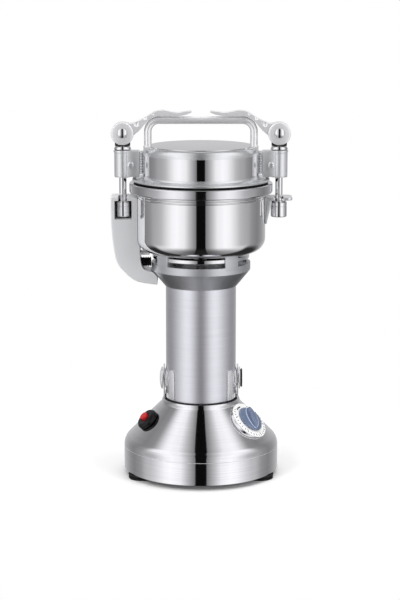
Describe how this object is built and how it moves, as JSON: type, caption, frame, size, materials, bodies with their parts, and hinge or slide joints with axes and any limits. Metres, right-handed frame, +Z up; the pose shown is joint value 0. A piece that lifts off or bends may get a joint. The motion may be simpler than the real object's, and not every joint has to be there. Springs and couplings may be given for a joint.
{
  "type": "swing-type grain mill",
  "caption": "Upright bench mill: a clamped-lid grinding bowl with beater blades on a motor column that tilts in a conical base with timer and overload reset.",
  "frame": {"origin": "floor level under the middle of the base", "axes": "+Z up the motor column, front of the mill towards -Y, tilt axis along X"},
  "size_m": [0.1924, 0.167, 0.3929],
  "materials": {
    "brushed_stainless": "spun and fine-brushed round the axis",
    "polished_stainless": "mirror-polished stainless steel",
    "satin_aluminium": "satin blasted and lacquered",
    "chrome_plate": "bright chrome plate",
    "tool_steel": "ground tool steel",
    "black_plastic": "moulded black plastic",
    "black_rubber": "matt black rubber",
    "copper_windings": "lacquered copper windings",
    "white_plastic": "white dial plate with printed scale",
    "blue_grey_plastic": "smooth blue-grey moulding",
    "red_plastic": "glossy red moulding"
  },
  "bodies": {
    "base": {"base_shell": "brushed_stainless", "neck_trim": "black_plastic", "bottom_plate": "tool_steel", "foot_front_left": "black_rubber", "foot_front_right": "black_rubber", "foot_rear_left": "black_rubber", "foot_rear_right": "black_rubber", "yoke_ear_left": "polished_stainless", "yoke_ear_right": "polished_stainless", "timer_dial": "white_plastic", "timer_body": "black_plastic", "breaker_body": "black_plastic", "breaker_nut": "black_plastic", "power_gland": "black_rubber"},
    "head": {"motor_column": "satin_aluminium", "column_tail": "satin_aluminium", "collar": "satin_aluminium", "vent_disc": "polished_stainless", "bowl": "polished_stainless", "bowl_rim": "polished_stainless", "side_handle": "satin_aluminium", "switch_conduit": "black_rubber", "interlock_switch": "black_plastic", "clamp_bracket": "chrome_plate", "cylinder_nut_left": "chrome_plate", "cylinder_nut_right": "chrome_plate", "motor_stator": "tool_steel", "brush_gear": "black_plastic", "lower_bearing": "tool_steel", "upper_bearing": "tool_steel", "shaft_seal": "black_rubber", "saddle_left": "polished_stainless", "saddle_right": "polished_stainless", "pivot_cap_left": "polished_stainless", "pivot_cap_right": "polished_stainless"},
    "rotor": {"motor_shaft": "tool_steel", "armature": "copper_windings", "cooling_fan": "black_plastic", "lower_blade": "tool_steel", "blade_spacer": "tool_steel", "upper_blade": "tool_steel", "blade_nut": "tool_steel"},
    "lid": {"lid_shell": "polished_stainless", "lid_gasket": "black_rubber", "lid_handle": "chrome_plate", "strap_left": "satin_aluminium", "strap_right": "satin_aluminium", "washer_left": "chrome_plate", "washer_right": "chrome_plate"},
    "clamp_left": {"clamp_rod_left": "chrome_plate", "cam_seat_left": "black_plastic", "cam_pin_left": "chrome_plate"},
    "clamp_right": {"clamp_rod_right": "chrome_plate", "cam_seat_right": "black_plastic", "cam_pin_right": "chrome_plate"},
    "lever_left": {"cam_lever_left": "chrome_plate"},
    "lever_right": {"cam_lever_right": "chrome_plate"},
    "timer_knob": {"timer_knob": "blue_grey_plastic"},
    "reset_button": {"reset_button": "red_plastic"}
  },
  "joints": [
    {"name": "head_tilt", "type": "hinge", "parent": "base", "child": "head", "pos_m": [0, 0, 0.103], "axis": [1, 0, 0], "range_deg": [-55, 55]},
    {"name": "rotor_spin", "type": "hinge", "parent": "head", "child": "rotor", "pos_m": [0, 0, 0.2], "axis": [0, 0, 1], "continuous": true},
    {"name": "lid_lift", "type": "slide", "parent": "head", "child": "lid", "axis": [0, 0, 1], "range_m": [0, 0.11]},
    {"name": "clamp_turn_left", "type": "hinge", "parent": "lid", "child": "clamp_left", "pos_m": [-0.083, 0, 0.33], "axis": [0, 0, 1], "continuous": true},
    {"name": "clamp_turn_right", "type": "hinge", "parent": "lid", "child": "clamp_right", "pos_m": [0.083, 0, 0.33], "axis": [0, 0, 1], "continuous": true},
    {"name": "lever_open_left", "type": "hinge", "parent": "clamp_left", "child": "lever_left", "pos_m": [-0.083, 0, 0.3692], "axis": [0, -1, 0], "range_deg": [0, 105]},
    {"name": "lever_open_right", "type": "hinge", "parent": "clamp_right", "child": "lever_right", "pos_m": [0.083, 0, 0.3692], "axis": [0, 1, 0], "range_deg": [0, 105]},
    {"name": "timer_turn", "type": "hinge", "parent": "base", "child": "timer_knob", "pos_m": [0.05066, -0.02925, 0.06158], "axis": [-0.6109, 0.3527, -0.7088], "range_deg": [0, 300]},
    {"name": "reset_press", "type": "slide", "parent": "base", "child": "reset_button", "axis": [0.6585, 0.2528, -0.7088], "range_m": [0, 0.0025], "stiffness_N_per_m": 600, "springref_m": -0.001}
  ]
}
